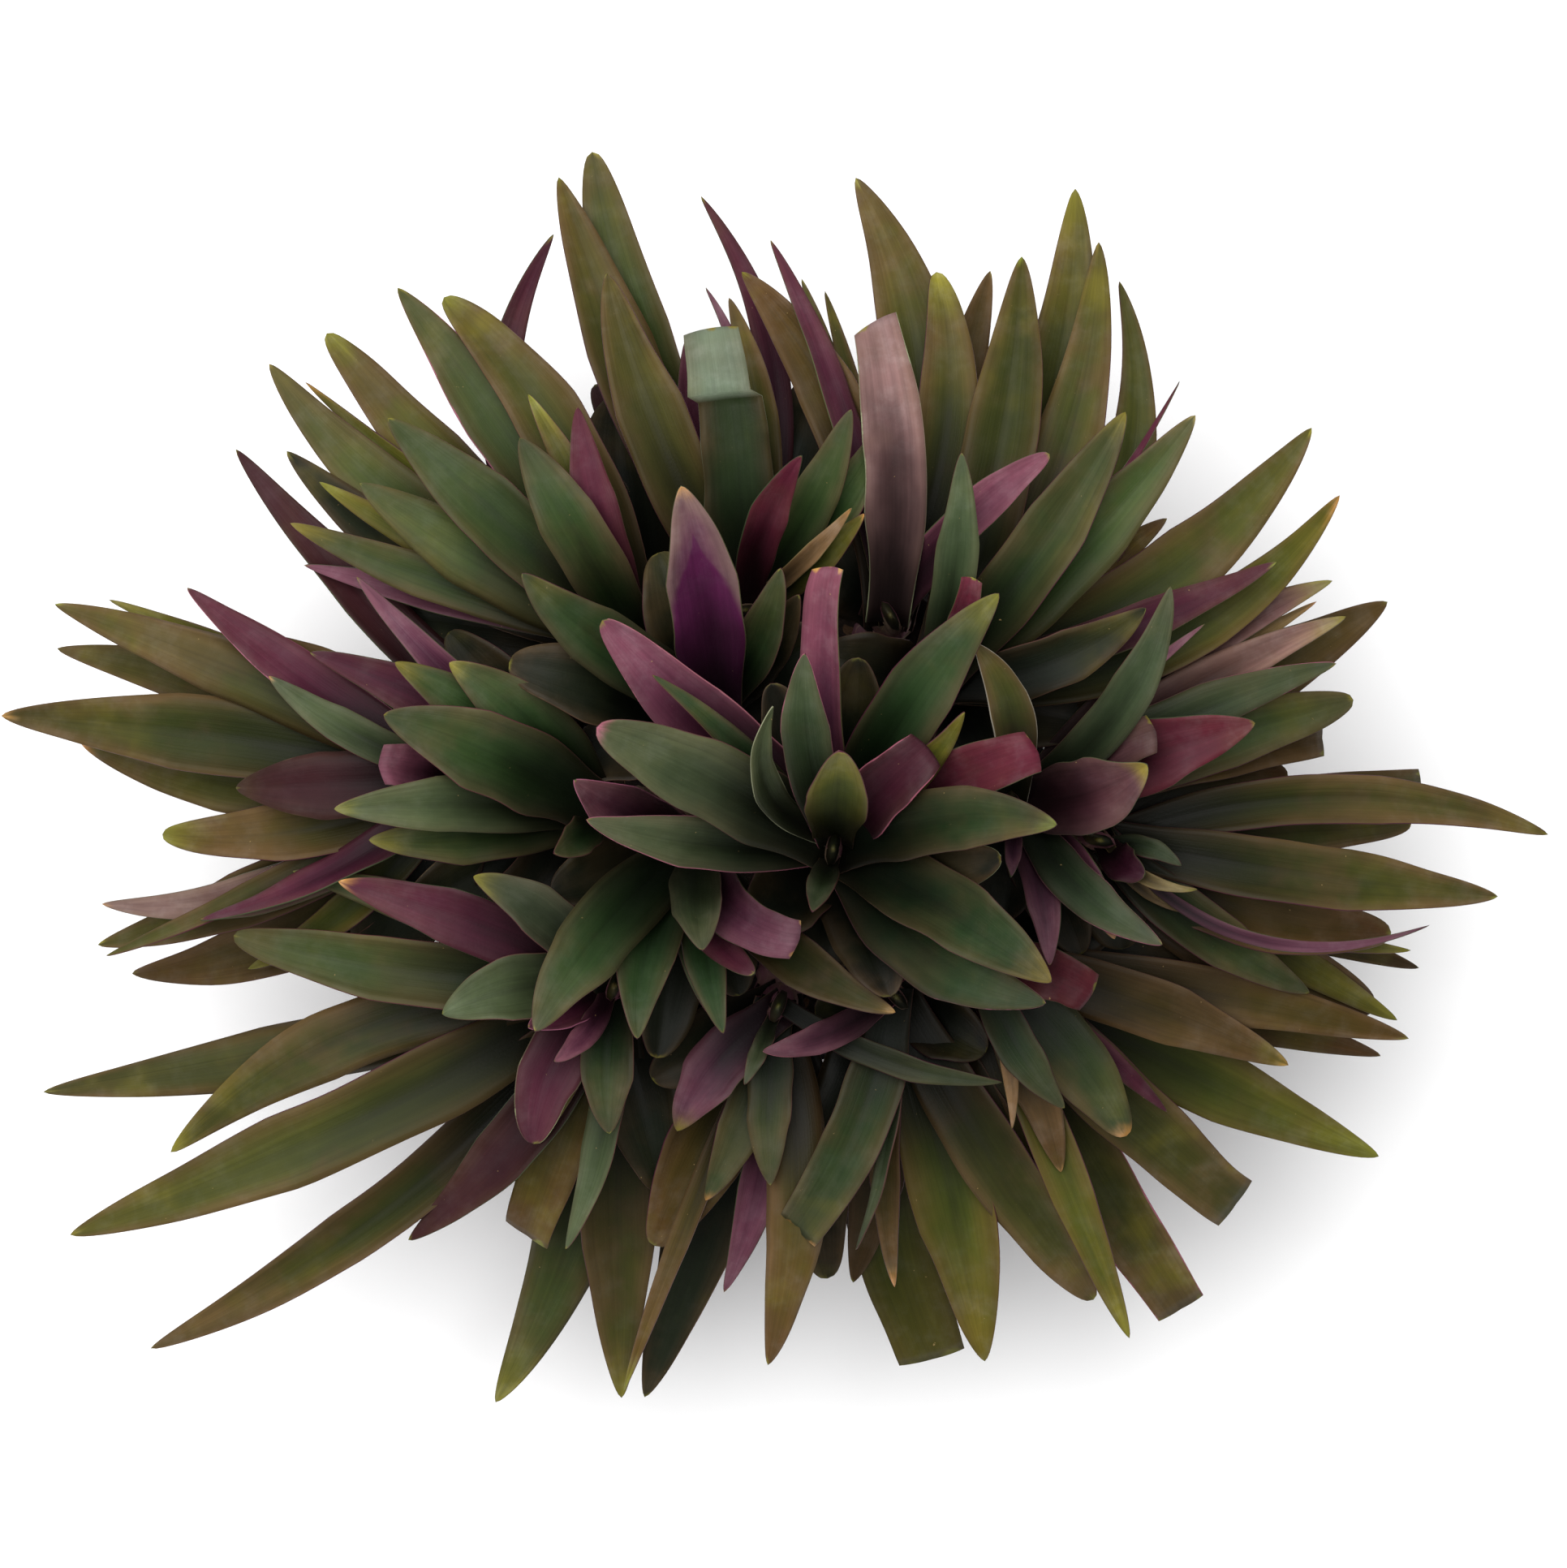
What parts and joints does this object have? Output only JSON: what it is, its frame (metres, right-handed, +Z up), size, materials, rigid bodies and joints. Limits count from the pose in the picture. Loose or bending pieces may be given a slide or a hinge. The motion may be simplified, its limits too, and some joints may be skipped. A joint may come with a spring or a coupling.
{
  "type": "potted oyster plant",
  "caption": "Dense clump of long lance-shaped leaves, dark green above and purple below, in a plain round pot of soil.",
  "frame": {"origin": "centre of the pot's foot, on the surface that it stands on", "axes": "+Z up, +X along the widest spread of the leaves, +Y across it"},
  "size_m": [0.599, 0.485, 0.334],
  "materials": {
    "pot": "satin",
    "soil": "matte",
    "foliage": "satin"
  },
  "bodies": {
    "root": {"pot": "pot", "soil": "soil", "shoot_centre": "foliage", "shoot_inner_upper": "foliage", "shoot_centre_left": "foliage", "shoot_left": "foliage", "shoot_far_left": "foliage", "shoot_upper_left": "foliage", "shoot_top": "foliage", "shoot_top_right": "foliage", "shoot_upper_right": "foliage", "shoot_right": "foliage", "shoot_far_right": "foliage", "shoot_lower_right": "foliage", "shoot_bottom_right": "foliage", "shoot_bottom": "foliage", "shoot_bottom_left": "foliage"}
  },
  "joints": []
}
